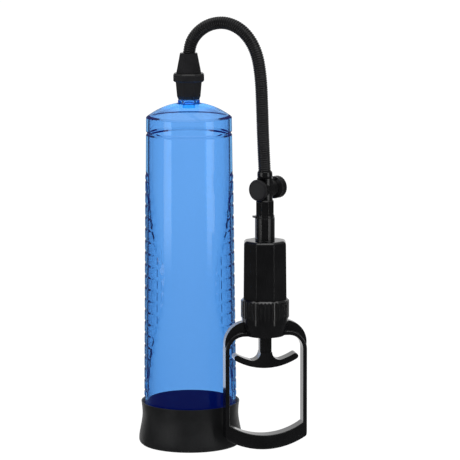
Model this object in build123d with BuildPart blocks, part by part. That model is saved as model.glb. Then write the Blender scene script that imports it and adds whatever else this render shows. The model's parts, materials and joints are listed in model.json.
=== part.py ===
from build123d import *
from math import atan, cos, degrees, pi, radians, sin, sqrt, tan
import os

# Hand vacuum pump: a clear tapered chamber stands mouth down in a soft sleeve. A hose runs from
# its nozzle to a release valve and a squeeze pump with a D-shaped handle.
# Millimetres. Origin: chamber axis at the floor. +Z up, the pump hangs towards +X, front is -Y.

os.makedirs("parts", exist_ok=True)

FIT = 0.05  # gap of a sliding or screwed fit
PLAY = 0.3  # gap between pieces that only pass each other
TURN_FIT = 0.06  # gap round a spigot that turns

# Chamber
CHAMBER_RIM_Z = 14.0
CHAMBER_R_LOW = 29.5  # outer radius at the sleeve's lip
CHAMBER_DRAFT = 0.65  # degrees
SHOULDER_Z = 212.5
WALL = 2.2
DOME_R = 44.3
DOME_CENTRE_Z = 177.7
GROOVE_Z = 203.5
GROOVE_DEPTH = 1.15
GROOVE_HALF_HEIGHT = 1.0
BOSS_R = 7.0
BOSS_TOP_Z = 223.6
SPIGOT_R = 5.0
SPIGOT_TOP_Z = 236.0
NOZZLE_BORE_R = 3.4
NIPPLE_Z = 218.3
SEAL_Z = 230.6  # middle of the nozzle's O-ring
SEAL_HEIGHT = 1.8
SEAL_DEPTH = 0.8  # depth of an O-ring's groove
SEAL_THICK = 0.78
SEAL_ROUND = 0.3

# Brick relief on the chamber's two sides
BRICK_PITCH_Z = 7.6
BRICK_PITCH_ANGLE = 10.0
BRICK_GAP = 1.0
BRICK_HEIGHT = 0.5
BRICK_CENTRE_Z = 103.5
BRICK_HALF_COLUMNS = 5
BRICK_ROWS_HALF = 10
BRICK_CUT = 6.0  # width of the cutters that part the bricks

# Sealing sleeve
SLEEVE_H = 28.1
SLEEVE_MOUTH_R = 14.0
SLEEVE_BASE_H = 5.0
SLEEVE_FOOT_R = 33.45
SLEEVE_FOOT_Z = 3.7
SLEEVE_WAIST_R = 31.05
SLEEVE_LIP_R = 31.75
SLEEVE_HUG_Z = 24.5  # where the lip leaves the chamber

# Hose connector
SOCKET_Z = 224.0
RING_Z = 235.3
RING_TOP_Z = 240.7
BOOT_TOP_Z = 253.5
SOCKET_AF_LOW = 13.3
SOCKET_AF_TOP = 16.6
RING_AF = 19.6
BOOT_AF_LOW = 15.9
BOOT_AF_TOP = 11.0
JOINT_R = 7.35  # spigots inside the ring nut
JOINT_H = 2.1
SOCKET_BEVEL_H = 2.2
SOCKET_BEVEL = 1.7  # how much wider across flats the socket is above its bevel
RING_BEVEL = 0.9

# Hose
HOSE_R = 4.05
SHEATH_BORE_R = 2.85
LINER_R = 2.8
LINER_BORE_R = 1.8
# Route in the upright plane through the chamber axis and the pump axis: distance out, height.
HOSE_ROUTE = [
    (0.0, 246.2),
    (0.0, 257.0),
    (5.6, 266.5),
    (15.8, 272.9),
    (28.6, 274.2),
    (40.6, 268.6),
    (48.8, 257.0),
    (51.9, 241.5),
    (52.8, 222.5),
    (53.5, 199.9),
    (54.7, 177.5),
]

# Pump axis
PUMP_X = 48.1
PUMP_Y = -26.0
PUMP_REACH = sqrt(PUMP_X**2 + PUMP_Y**2)

# Release valve
VALVE_Z = 169.7
VALVE_DIR = (0.616, 0.788)  # from the button towards the knob
BARREL_R = 5.3
BARREL_FRONT = -3.7
BARREL_BACK = 7.6
TRUNK_R = 5.0
TRUNK_TOP_Z = 176.8
VALVE_BORE_R = 3.0
STEM_R = 1.5
BUTTON_R = 6.75
BUTTON_BACK = -5.8
BUTTON_T = 2.6
BUTTON_TRAVEL = 1.8
KNOB_R = 7.1
KNOB_LENGTH = 7.0
KNOB_SPIGOT_R = 4.2
KNOB_SPIGOT_LENGTH = 3.0
KNOB_RIDGES = 30
FERRULE_R = 4.75
FERRULE_H = 4.2
FERRULE_BORE_R = 1.6
FERRULE_FLOOR_T = 0.35

# Coupling and neck
COUPLING_TOP_Z = 162.8
COUPLING_AF = 11.1
FLANGE_Z = 151.9
FLANGE_T = 1.1
FLANGE_R = 6.1
LUG_REACH = 8.1
LUG_WIDTH = 3.6
PLUG_R = 4.5
PLUG_Z = 140.0
NECK_R = 6.35
NECK_TOP_Z = 151.6
NECK_BORE_Z = 138.2

# Pump casing
BODY_Z = 99.8
BODY_TOP_Z = 137.1
BODY_EDGE_R = 0.9
BODY_TOP_ROUND = 2.4
BODY_AF_LOW = 27.3
BODY_AF_TOP = 26.6
LINER_OUT_R = 11.2
PISTON_BORE_R = 10.0
LINER_Z = 88.05
LINER_TOP_Z = 131.9
THREAD_R = 13.2
THREAD_Z = 92.3

# Knurled collar
COLLAR_Z = 87.9
COLLAR_TOP_Z = 99.7
COLLAR_R = 15.4
COLLAR_BEVEL_R = 14.1
COLLAR_FLUTES = 40
COLLAR_LIP_R = 12.2
COLLAR_LIP_T = 1.5

# Handle frame
HANDLE_TURN = 11.0  # degrees about the pump axis
HANDLE_DEPTH = 10.0
WEB_DEPTH = 6.0
OUTER_HALF = 26.5
INNER_HALF = 23.9
CORNER_X = 14.4
CORNER_Z = 66.5
GRIP_OUT_R = 48.7
GRIP_LOW_Z = 1.6
GRIP_IN_R = 42.0
GRIP_TOP_Z = 11.3
GRIP_ROUND = 3.2
GRIP_CORNER = 1.1  # bevel where the sides meet the grip
OUTER_ROUND = 0.8
INNER_ROUND = 0.7
PIN_MARK_R = 0.9  # round mark on the grip's front face
PIN_MARK_X = 21.6
PIN_MARK_Z = 10.8
PIN_MARK_DEPTH = 0.2
ARCH_X = 12.0
ARCH_Z = 71.0
ARCH_R = 14.5
CUP_Z = 76.0
CUP_TOP_Z = 87.8
CUP_R = 14.92
CUP_BORE_R = 10.4
GUIDE_R = 9.0
GUIDE_Z = 77.4
GUIDE_TOP_Z = 81.0

# Plunger
ROD_W = 7.6
ROD_D = 7.4
ROD_CORNER = 1.4
T_HALF = 20.75
T_DEPTH = 8.8
T_LOW_Z = 55.15
T_R = 39.0
T_THICK = 3.8
PISTON_Z = 124.0
PISTON_H = 5.5
PISTON_R = 9.9
SPRING_R = 7.0
SPRING_WIRE_R = 0.5
SPRING_TURNS = 7


def chamber_radius(z):
    """Outer radius of the tapered wall at height z."""
    return CHAMBER_R_LOW - (z - SLEEVE_H) * tan(radians(CHAMBER_DRAFT))


def dome_height(r, dome_r):
    """Height of a dome of radius dome_r at distance r from the axis."""
    return DOME_CENTRE_Z + sqrt(dome_r**2 - r**2)


def route_radii(points):
    """Corner radii of a route: 0.45 of the shorter run over the tangent of half the turn."""
    radii = []
    for before, here, after in zip(points, points[1:], points[2:]):
        run_in, run_out = here - before, after - here
        half_turn = radians(run_in.get_angle(run_out)) / 2
        radii.append(0.45 * min(run_in.length, run_out.length) / tan(half_turn))
    return radii


def axis_plane(z):
    """Level plane centred on the pump axis."""
    return Plane.XY.move(Location((PUMP_X, PUMP_Y, z)))


PUMP_SIDE = Plane(origin=(PUMP_X, PUMP_Y, 0), x_dir=(1, 0, 0), z_dir=(0, -1, 0))
PUMP_AXIS = Axis((PUMP_X, PUMP_Y, 0), (0, 0, 1))
TURN_X = (cos(radians(HANDLE_TURN)), sin(radians(HANDLE_TURN)), 0)
HANDLE_SIDE = Plane(origin=(PUMP_X, PUMP_Y, 0), x_dir=TURN_X, z_dir=(TURN_X[1], -TURN_X[0], 0))
VALVE_AXIS = Axis((PUMP_X, PUMP_Y, VALVE_Z), (VALVE_DIR[0], VALVE_DIR[1], 0))
# Sketch plane of the valve: x runs along the barrel, y up.
VALVE_SIDE = Plane(
    origin=(PUMP_X, PUMP_Y, VALVE_Z),
    x_dir=(VALVE_DIR[0], VALVE_DIR[1], 0),
    z_dir=(VALVE_DIR[1], -VALVE_DIR[0], 0),
)


def handle_level(z):
    """Level plane on the pump axis, turned with the handle."""
    return Plane(origin=(PUMP_X, PUMP_Y, z), x_dir=TURN_X, z_dir=(0, 0, 1))


# ---------------------------------------------------------------- chamber

INNER_SHOULDER_R = chamber_radius(SHOULDER_Z) - WALL
INNER_DOME_R = DOME_R - WALL

with BuildPart() as relief:
    low_z = BRICK_CENTRE_Z - (BRICK_ROWS_HALF - 0.5) * BRICK_PITCH_Z
    high_z = BRICK_CENTRE_Z + (BRICK_ROWS_HALF - 0.5) * BRICK_PITCH_Z
    with BuildSketch(Plane.XZ):
        with BuildLine():
            Polyline(
                (chamber_radius(low_z) - PLAY, low_z),
                (chamber_radius(low_z) + BRICK_HEIGHT, low_z),
                (chamber_radius(high_z) + BRICK_HEIGHT, high_z),
                (chamber_radius(high_z) - PLAY, high_z),
                close=True,
            )
        make_face()
    revolve(axis=Axis.Z)
    # The bricks fill a spindle shape on each side: one column less for every two rows.
    outline = []
    for column in range(BRICK_HALF_COLUMNS, -1, -1):
        angle = radians((column + 0.5) * BRICK_PITCH_ANGLE)
        rise = (1 + 2 * (BRICK_HALF_COLUMNS - column)) * BRICK_PITCH_Z
        outline.append((chamber_radius(BRICK_CENTRE_Z) * sin(angle), min(rise, high_z - BRICK_CENTRE_Z)))
    upper = [(y, BRICK_CENTRE_Z + rise) for y, rise in outline]
    lower = [(y, BRICK_CENTRE_Z - rise) for y, rise in reversed(outline)]
    mirrored = [(-y, z) for y, z in reversed(lower + upper)]
    with BuildSketch(Plane.YZ):
        with BuildLine():
            Polyline(*lower, *upper, *mirrored, close=True)
        make_face()
    extrude(amount=2 * CHAMBER_R_LOW, both=True, mode=Mode.INTERSECT)
    with BuildSketch(Plane.XZ):
        for row in range(-BRICK_ROWS_HALF, BRICK_ROWS_HALF + 1):
            with Locations((CHAMBER_R_LOW, BRICK_CENTRE_Z + row * BRICK_PITCH_Z)):
                Rectangle(BRICK_CUT, BRICK_GAP)
    revolve(axis=Axis.Z, mode=Mode.SUBTRACT)
    columns = round(360 / BRICK_PITCH_ANGLE)
    with PolarLocations(CHAMBER_R_LOW, columns, start_angle=BRICK_PITCH_ANGLE / 2):
        with Locations((0, 0, BRICK_CENTRE_Z)):
            Box(BRICK_CUT, BRICK_GAP, 2 * BRICK_ROWS_HALF * BRICK_PITCH_Z, mode=Mode.SUBTRACT)

with BuildPart() as chamber:
    with BuildSketch(Plane.XZ):
        with BuildLine():
            groove_low = GROOVE_Z - GROOVE_HALF_HEIGHT
            groove_high = GROOVE_Z + GROOVE_HALF_HEIGHT
            shoulder_r = chamber_radius(SHOULDER_Z)
            Polyline(
                (chamber_radius(CHAMBER_RIM_Z) - WALL, CHAMBER_RIM_Z),
                (chamber_radius(CHAMBER_RIM_Z), CHAMBER_RIM_Z),
                (chamber_radius(groove_low), groove_low),
            )
            ThreePointArc(
                (chamber_radius(groove_low), groove_low),
                (chamber_radius(GROOVE_Z) - GROOVE_DEPTH, GROOVE_Z),
                (chamber_radius(groove_high), groove_high),
            )
            Line((chamber_radius(groove_high), groove_high), (shoulder_r, SHOULDER_Z))
            middle = 0.6 * shoulder_r
            ThreePointArc(
                (shoulder_r, SHOULDER_Z),
                (middle, dome_height(middle, DOME_R)),
                (BOSS_R, dome_height(BOSS_R, DOME_R)),
            )
            Polyline(
                (BOSS_R, dome_height(BOSS_R, DOME_R)),
                (BOSS_R, BOSS_TOP_Z),
                (SPIGOT_R, BOSS_TOP_Z),
                (SPIGOT_R, SPIGOT_TOP_Z),
                (NOZZLE_BORE_R, SPIGOT_TOP_Z),
                (NOZZLE_BORE_R, NIPPLE_Z),
                (SPIGOT_R, NIPPLE_Z),
                (SPIGOT_R, dome_height(SPIGOT_R, INNER_DOME_R)),
            )
            ThreePointArc(
                (SPIGOT_R, dome_height(SPIGOT_R, INNER_DOME_R)),
                (middle, dome_height(middle, INNER_DOME_R)),
                (INNER_SHOULDER_R, dome_height(INNER_SHOULDER_R, INNER_DOME_R)),
            )
            Line(
                (INNER_SHOULDER_R, dome_height(INNER_SHOULDER_R, INNER_DOME_R)),
                (chamber_radius(CHAMBER_RIM_Z) - WALL, CHAMBER_RIM_Z),
            )
        make_face()
        # Groove for the nozzle's O-ring
        with Locations((SPIGOT_R, SEAL_Z)):
            Rectangle(2 * SEAL_DEPTH, SEAL_HEIGHT + 2 * FIT, mode=Mode.SUBTRACT)
    revolve(axis=Axis.Z)
    add(relief.part)
chamber.part.label = "chamber"
export_step(chamber.part, "parts/chamber.step")

with BuildPart() as nozzle_seal:
    with BuildSketch(Plane.XZ):
        with Locations((SPIGOT_R - SEAL_DEPTH + FIT, SEAL_Z)):
            RectangleRounded(SEAL_THICK, SEAL_HEIGHT, SEAL_ROUND, align=(Align.MIN, Align.CENTER))
    revolve(axis=Axis.Z)
nozzle_seal.part.label = "nozzle_seal"
export_step(nozzle_seal.part, "parts/nozzle_seal.step")

with BuildPart() as sealing_sleeve:
    with BuildSketch(Plane.XZ):
        with BuildLine():
            lip_z = SLEEVE_H - 0.3
            edge_r = SLEEVE_LIP_R - 0.6
            Line((SLEEVE_MOUTH_R, 0), (SLEEVE_FOOT_R - 2.4, 0))
            ThreePointArc(
                (SLEEVE_FOOT_R - 2.4, 0),
                (SLEEVE_FOOT_R - 0.6, SLEEVE_FOOT_Z - 2.5),
                (SLEEVE_FOOT_R, SLEEVE_FOOT_Z),
            )
            Spline(
                (SLEEVE_FOOT_R, SLEEVE_FOOT_Z),
                (SLEEVE_WAIST_R + 1.15, 11.5),
                (SLEEVE_WAIST_R, 18.5),
                (SLEEVE_LIP_R, lip_z),
                tangents=((-0.05, 1), (0.2, 1)),
            )
            ThreePointArc((SLEEVE_LIP_R, lip_z), (SLEEVE_LIP_R - 0.25, SLEEVE_H), (edge_r, SLEEVE_H - 0.2))
            Polyline(
                (edge_r, SLEEVE_H - 0.2),
                (chamber_radius(SLEEVE_HUG_Z) + FIT, SLEEVE_HUG_Z),
                (chamber_radius(CHAMBER_RIM_Z) + FIT, CHAMBER_RIM_Z),
                (chamber_radius(CHAMBER_RIM_Z) - WALL - 1, CHAMBER_RIM_Z),
                (SLEEVE_MOUTH_R, SLEEVE_BASE_H),
                (SLEEVE_MOUTH_R, 0),
            )
        make_face()
    revolve(axis=Axis.Z)
sealing_sleeve.part.label = "sealing_sleeve"
export_step(sealing_sleeve.part, "parts/sealing_sleeve.step")

# ---------------------------------------------------------------- hose connector


def octagon(across_flats, turn=22.5):
    """Octagon with flats facing front, back and sides."""
    return RegularPolygon(across_flats / 2, 8, major_radius=False, rotation=turn)


RING_BORE_R = JOINT_R + FIT
RING_LIP_R = 6.5
RING_LIP_Z = 239.2

with BuildPart() as connector_socket:
    with BuildSketch(Plane.XY.offset(SOCKET_Z)):
        octagon(SOCKET_AF_LOW)
    with BuildSketch(Plane.XY.offset(SOCKET_Z + SOCKET_BEVEL_H)):
        octagon(SOCKET_AF_LOW + SOCKET_BEVEL)
    with BuildSketch(Plane.XY.offset(RING_Z - 0.1)):
        octagon(SOCKET_AF_TOP)
    loft(ruled=True)
    with BuildSketch(Plane.XY.offset(RING_Z - 0.1)):
        Circle(JOINT_R)
    extrude(amount=JOINT_H)
    with BuildSketch(Plane.XY.offset(SOCKET_Z)):
        Circle(SPIGOT_R + TURN_FIT)
    extrude(amount=RING_Z + 2.0 - SOCKET_Z, mode=Mode.SUBTRACT)
    fillet(connector_socket.faces().sort_by(Axis.Z)[0].outer_wire().edges(), 0.6)
connector_socket.part.label = "connector_socket"
export_step(connector_socket.part, "parts/connector_socket.step")

with BuildPart() as connector_ring:
    with BuildSketch(Plane.XY.offset(RING_Z)):
        octagon(RING_AF)
    extrude(amount=RING_TOP_Z - RING_Z)
    chamfer(connector_ring.edges().filter_by(GeomType.LINE).filter_by(Axis.Z, reverse=True), RING_BEVEL)
    with BuildSketch(Plane.XY.offset(RING_Z)):
        Circle(RING_BORE_R)
    extrude(amount=RING_LIP_Z - RING_Z, mode=Mode.SUBTRACT)
    with BuildSketch(Plane.XY.offset(RING_LIP_Z)):
        Circle(RING_LIP_R)
    extrude(amount=RING_TOP_Z - RING_LIP_Z, mode=Mode.SUBTRACT)
connector_ring.part.label = "connector_ring"
export_step(connector_ring.part, "parts/connector_ring.step")

BOOT_Z = RING_TOP_Z + 0.1
BOOT_FLANGE_Z = RING_Z + 2.05
INSERT_R = 3.0

with BuildPart() as hose_boot:
    with BuildSketch(Plane.XY.offset(BOOT_FLANGE_Z)):
        Circle(JOINT_R)
    extrude(amount=RING_LIP_Z - FIT - BOOT_FLANGE_Z)
    with BuildSketch(Plane.XY.offset(BOOT_FLANGE_Z)):
        Circle(RING_LIP_R - FIT)
    extrude(amount=BOOT_Z - BOOT_FLANGE_Z)
    with BuildSketch(Plane.XY.offset(BOOT_Z)):
        octagon(BOOT_AF_LOW)
    with BuildSketch(Plane.XY.offset(BOOT_TOP_Z)):
        octagon(BOOT_AF_TOP)
    loft(ruled=True)
    with BuildSketch(Plane.XY.offset(BOOT_FLANGE_Z)):
        Circle(INSERT_R)
    extrude(amount=HOSE_ROUTE[0][1] - BOOT_FLANGE_Z, mode=Mode.SUBTRACT)
    with BuildSketch(Plane.XY.offset(HOSE_ROUTE[0][1])):
        Circle(HOSE_R + FIT)
    extrude(amount=BOOT_TOP_Z - HOSE_ROUTE[0][1], mode=Mode.SUBTRACT)
hose_boot.part.label = "hose_boot"
export_step(hose_boot.part, "parts/hose_boot.step")

with BuildPart() as hose_barb:
    with BuildSketch(Plane.XZ):
        with BuildLine():
            barb_z = HOSE_ROUTE[0][1]
            barb_r = LINER_BORE_R - FIT
            Polyline(
                (1.1, BOOT_FLANGE_Z + 0.4),
                (INSERT_R - FIT, BOOT_FLANGE_Z + 0.4),
                (INSERT_R - FIT, barb_z - FIT),
                (1.4, barb_z - FIT),
                (1.4, barb_z + 1.6),
                (barb_r, barb_z + 1.7),
                (1.4, barb_z + 3.4),
                (barb_r, barb_z + 3.5),
                (1.3, barb_z + 5.6),
                (1.1, barb_z + 5.6),
                close=True,
            )
        make_face()
    revolve(axis=Axis.Z)
hose_barb.part.label = "hose_barb"
export_step(hose_barb.part, "parts/hose_barb.step")

# ---------------------------------------------------------------- hose

HOSE_PLANE_X = PUMP_X / PUMP_REACH
HOSE_PLANE_Y = PUMP_Y / PUMP_REACH
route = [Vector(out * HOSE_PLANE_X, out * HOSE_PLANE_Y, z) for out, z in HOSE_ROUTE]
corner_radii = route_radii(route)
print("hose corner radii", [round(r, 1) for r in corner_radii])

with BuildLine() as hose_path:
    FilletPolyline(*route, radius=corner_radii)
hose_length = hose_path.wires()[0].length
print("hose length", round(hose_length, 1))

HOSE_START = Plane.XY.offset(HOSE_ROUTE[0][1])

with BuildPart() as hose_liner:
    with BuildSketch(HOSE_START):
        Circle(LINER_R)
        Circle(LINER_BORE_R, mode=Mode.SUBTRACT)
    sweep(path=hose_path.wires()[0])
hose_liner.part.label = "hose_liner"
export_step(hose_liner.part, "parts/hose_liner.step")

with BuildPart() as hose_sheath:
    with BuildSketch(HOSE_START):
        Circle(HOSE_R)
        Circle(SHEATH_BORE_R, mode=Mode.SUBTRACT)
    sweep(path=hose_path.wires()[0])
hose_sheath.part.label = "hose_sheath"
export_step(hose_sheath.part, "parts/hose_sheath.step")

for tube, outer_r, inner_r in ((hose_liner, LINER_R, LINER_BORE_R), (hose_sheath, HOSE_R, SHEATH_BORE_R)):
    section = pi * (outer_r**2 - inner_r**2)
    print(tube.part.label, "volume over section x length", round(tube.part.volume / section / hose_length, 4))

with BuildPart() as hose_ferrule:
    with BuildSketch(PUMP_SIDE):
        with BuildLine():
            ferrule_top = TRUNK_TOP_Z + FERRULE_H
            floor_z = TRUNK_TOP_Z + FERRULE_FLOOR_T
            Polyline(
                (FERRULE_BORE_R, TRUNK_TOP_Z),
                (FERRULE_R - 0.4, TRUNK_TOP_Z),
                (FERRULE_R, TRUNK_TOP_Z + 0.5),
            )
            ThreePointArc(
                (FERRULE_R, TRUNK_TOP_Z + 0.5),
                (FERRULE_R + 0.12, TRUNK_TOP_Z + 2),
                (FERRULE_R - 0.1, ferrule_top - 0.3),
            )
            Polyline(
                (FERRULE_R - 0.1, ferrule_top - 0.3),
                (FERRULE_R - 0.35, ferrule_top),
                (HOSE_R + 0.25, ferrule_top),
                (HOSE_R + 0.25, floor_z),
                (FERRULE_BORE_R, floor_z),
                (FERRULE_BORE_R, TRUNK_TOP_Z),
            )
        make_face()
    revolve(axis=PUMP_AXIS)
hose_ferrule.part.label = "hose_ferrule"
export_step(hose_ferrule.part, "parts/hose_ferrule.step")

# ---------------------------------------------------------------- release valve

GUIDE_START = 5.0
GUIDE_END = 6.4
AIR_R = 1.0
TAIL_R = 2.5  # stub that enters the coupling
TAIL_H = 4.5
HOSE_STUB_R = 1.5  # stub that enters the hose's liner
HOSE_STUB_H = 4.7

with BuildPart() as valve_body:
    # Trunk from the coupling to the ferrule, flat behind the button
    trunk_plane = Plane(
        origin=(PUMP_X, PUMP_Y, COUPLING_TOP_Z + FIT),
        x_dir=(VALVE_DIR[0], VALVE_DIR[1], 0),
        z_dir=(0, 0, 1),
    )
    with BuildSketch(trunk_plane):
        Circle(TRUNK_R)
        with Locations((BARREL_FRONT, 0)):
            Rectangle(TRUNK_R, 2 * TRUNK_R, align=(Align.MAX, Align.CENTER), mode=Mode.SUBTRACT)
    extrude(amount=TRUNK_TOP_Z - COUPLING_TOP_Z - FIT)
    with BuildSketch(axis_plane(COUPLING_TOP_Z - TAIL_H)):
        Circle(TAIL_R)
    extrude(amount=TAIL_H + 2 * FIT)
    with BuildSketch(axis_plane(TRUNK_TOP_Z)):
        Circle(HOSE_STUB_R)
    extrude(amount=HOSE_STUB_H)
    with BuildSketch(VALVE_SIDE):
        with BuildLine():
            Polyline(
                (BARREL_FRONT, 0),
                (BARREL_FRONT, BARREL_R - 0.4),
                (BARREL_FRONT + 0.4, BARREL_R),
                (BARREL_BACK, BARREL_R),
                (BARREL_BACK, KNOB_SPIGOT_R),
                (BARREL_BACK + KNOB_SPIGOT_LENGTH, KNOB_SPIGOT_R),
                (BARREL_BACK + KNOB_SPIGOT_LENGTH, 0),
                close=True,
            )
        make_face()
    revolve(axis=VALVE_AXIS)
    with BuildSketch(axis_plane(COUPLING_TOP_Z - TAIL_H)):
        Circle(AIR_R)
    extrude(amount=TAIL_H + TRUNK_TOP_Z - COUPLING_TOP_Z + HOSE_STUB_H, mode=Mode.SUBTRACT)
    with BuildSketch(VALVE_SIDE):
        with BuildLine():
            Polyline(
                (BARREL_FRONT, 0),
                (BARREL_FRONT, VALVE_BORE_R),
                (GUIDE_START, VALVE_BORE_R),
                (GUIDE_START, STEM_R + FIT),
                (GUIDE_END, STEM_R + FIT),
                (GUIDE_END, VALVE_BORE_R),
                (BARREL_BACK + KNOB_SPIGOT_LENGTH, VALVE_BORE_R),
                (BARREL_BACK + KNOB_SPIGOT_LENGTH, 0),
                close=True,
            )
        make_face()
    revolve(axis=VALVE_AXIS, mode=Mode.SUBTRACT)
valve_body.part.label = "valve_body"
export_step(valve_body.part, "parts/valve_body.step")

HUB_R = 2.6
HUB_END = -3.5

with BuildPart() as release_button:
    with BuildSketch(VALVE_SIDE):
        with BuildLine():
            front = BUTTON_BACK - BUTTON_T
            Line((front + 0.35, 0), (front + 0.35, BUTTON_R - 1.1))
            Polyline(
                (front + 0.35, BUTTON_R - 1.1),
                (front, BUTTON_R - 0.9),
                (front, BUTTON_R - 0.6),
                (front + 0.6, BUTTON_R),
                (BUTTON_BACK - 0.3, BUTTON_R),
                (BUTTON_BACK, BUTTON_R - 0.3),
                (BUTTON_BACK, HUB_R),
                (HUB_END, HUB_R),
                (HUB_END, STEM_R + FIT),
                (BUTTON_BACK, STEM_R + FIT),
                (BUTTON_BACK, 0),
                (front + 0.35, 0),
            )
        make_face()
    revolve(axis=VALVE_AXIS)
release_button.part.label = "release_button"
export_step(release_button.part, "parts/release_button.step")

STEM_FLANGE = 7.5
STEM_FLANGE_R = 2.4
STEM_FLANGE_T = 0.9

with BuildPart() as valve_stem:
    with BuildSketch(VALVE_SIDE):
        with BuildLine():
            Polyline(
                (BUTTON_BACK, 0),
                (BUTTON_BACK, STEM_R),
                (STEM_FLANGE, STEM_R),
                (STEM_FLANGE, STEM_FLANGE_R),
                (STEM_FLANGE + STEM_FLANGE_T, STEM_FLANGE_R),
                (STEM_FLANGE + STEM_FLANGE_T, 0),
                close=True,
            )
        make_face()
    revolve(axis=VALVE_AXIS)
valve_stem.part.label = "valve_stem"
export_step(valve_stem.part, "parts/valve_stem.step")

with BuildPart() as stem_seal:
    with BuildSketch(VALVE_SIDE):
        with Locations((GUIDE_END + FIT, STEM_R + FIT)):
            RectangleRounded(STEM_FLANGE - GUIDE_END - 2 * FIT, 0.85, 0.3, align=(Align.MIN, Align.MIN))
    revolve(axis=VALVE_AXIS)
stem_seal.part.label = "stem_seal"
export_step(stem_seal.part, "parts/stem_seal.step")

VALVE_SPRING_END = GUIDE_START - BUTTON_TRAVEL - 0.3
VALVE_SPRING_TURNS = 5
VALVE_SPRING_WIRE_R = 0.2
VALVE_SPRING_R = 2.2


def coil_spring(wire_r, coil_r, turns, height, start, direction):
    """Round wire spring of the given height, from the point start along direction."""
    axis = Vector(direction).normalized()
    coil_height = height - 2 * wire_r
    with BuildLine() as coil:
        Helix(
            pitch=coil_height / turns,
            height=coil_height,
            radius=coil_r,
            center=Vector(start) + axis * wire_r,
            direction=axis,
        )
    wire = coil.edges()[0]
    with BuildPart() as spring:
        with BuildSketch(Plane(origin=wire @ 0, z_dir=wire % 0)):
            Circle(wire_r)
        sweep(path=coil.wires()[0], is_frenet=True)
    return spring.part


valve_spring = coil_spring(
    VALVE_SPRING_WIRE_R,
    VALVE_SPRING_R,
    VALVE_SPRING_TURNS,
    VALVE_SPRING_END - HUB_END,
    VALVE_SIDE.from_local_coords((HUB_END, 0, 0)),
    VALVE_AXIS.direction,
)
valve_spring.label = "valve_spring"
export_step(valve_spring, "parts/valve_spring.step")

with BuildPart() as valve_knob:
    with BuildSketch(VALVE_SIDE):
        with BuildLine():
            knob_end = BARREL_BACK + KNOB_LENGTH
            socket_end = BARREL_BACK + KNOB_SPIGOT_LENGTH + FIT
            Polyline(
                (BARREL_BACK + FIT, KNOB_SPIGOT_R + FIT),
                (BARREL_BACK + FIT, BARREL_R),
                (BARREL_BACK + 1.5, KNOB_R),
                (knob_end - 0.8, KNOB_R),
                (knob_end, KNOB_R - 0.8),
                (knob_end, 0.8),
                (knob_end - 1.2, 0.8),
                (knob_end - 1.2, VALVE_BORE_R),
                (socket_end, VALVE_BORE_R),
                (socket_end, KNOB_SPIGOT_R + FIT),
                close=True,
            )
        make_face()
    revolve(axis=VALVE_AXIS)
    ridge_plane = Plane(
        origin=VALVE_SIDE.from_local_coords((BARREL_BACK + 2.2, 0, 0)),
        x_dir=(0, 0, 1),
        z_dir=(VALVE_DIR[0], VALVE_DIR[1], 0),
    )
    with BuildSketch(ridge_plane):
        with PolarLocations(KNOB_R + 0.2, KNOB_RIDGES):
            Circle(0.5)
    extrude(amount=KNOB_LENGTH, mode=Mode.SUBTRACT)
valve_knob.part.label = "valve_knob"
export_step(valve_knob.part, "parts/valve_knob.step")

# ---------------------------------------------------------------- coupling

COUPLING_SEAL_Z = 145.0

with BuildPart() as coupling:
    with BuildSketch(axis_plane(FLANGE_Z)):
        Circle(FLANGE_R)
    extrude(amount=FLANGE_T)
    lug_plane = Plane(
        origin=(PUMP_X, PUMP_Y, FLANGE_Z),
        x_dir=(-cos(radians(20)), -sin(radians(20)), 0),
        z_dir=(0, 0, 1),
    )
    with BuildSketch(lug_plane):
        with Locations((LUG_REACH / 2 + 1, 0)):
            RectangleRounded(LUG_REACH - 2, LUG_WIDTH, 0.9)
    extrude(amount=FLANGE_T)
    with BuildSketch(axis_plane(FLANGE_Z + FLANGE_T)):
        octagon(COUPLING_AF)
    extrude(amount=COUPLING_TOP_Z - FLANGE_Z - FLANGE_T)
    chamfer(coupling.edges().group_by(Axis.Z)[-1], 0.7)
    with BuildSketch(axis_plane(PLUG_Z)):
        Circle(PLUG_R)
    extrude(amount=FLANGE_Z - PLUG_Z)
    with BuildSketch(axis_plane(PLUG_Z)):
        Circle(AIR_R)
    extrude(amount=COUPLING_TOP_Z - PLUG_Z, mode=Mode.SUBTRACT)
    with BuildSketch(axis_plane(COUPLING_TOP_Z - TAIL_H - 2 * FIT)):
        Circle(TAIL_R + FIT)
    extrude(amount=TAIL_H + 2 * FIT, mode=Mode.SUBTRACT)
    with BuildSketch(PUMP_SIDE):
        with Locations((PLUG_R, COUPLING_SEAL_Z)):
            Rectangle(2 * SEAL_DEPTH, SEAL_HEIGHT + 2 * FIT)
    revolve(axis=PUMP_AXIS, mode=Mode.SUBTRACT)
coupling.part.label = "coupling"
export_step(coupling.part, "parts/coupling.step")

with BuildPart() as coupling_seal:
    with BuildSketch(PUMP_SIDE):
        with Locations((PLUG_R - SEAL_DEPTH + FIT, COUPLING_SEAL_Z)):
            RectangleRounded(SEAL_THICK, SEAL_HEIGHT, SEAL_ROUND, align=(Align.MIN, Align.CENTER))
    revolve(axis=PUMP_AXIS)
coupling_seal.part.label = "coupling_seal"
export_step(coupling_seal.part, "parts/coupling_seal.step")

# ---------------------------------------------------------------- pump casing

body_taper = degrees(atan((BODY_AF_LOW - BODY_AF_TOP) / 2 / (BODY_TOP_Z - BODY_Z)))

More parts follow.
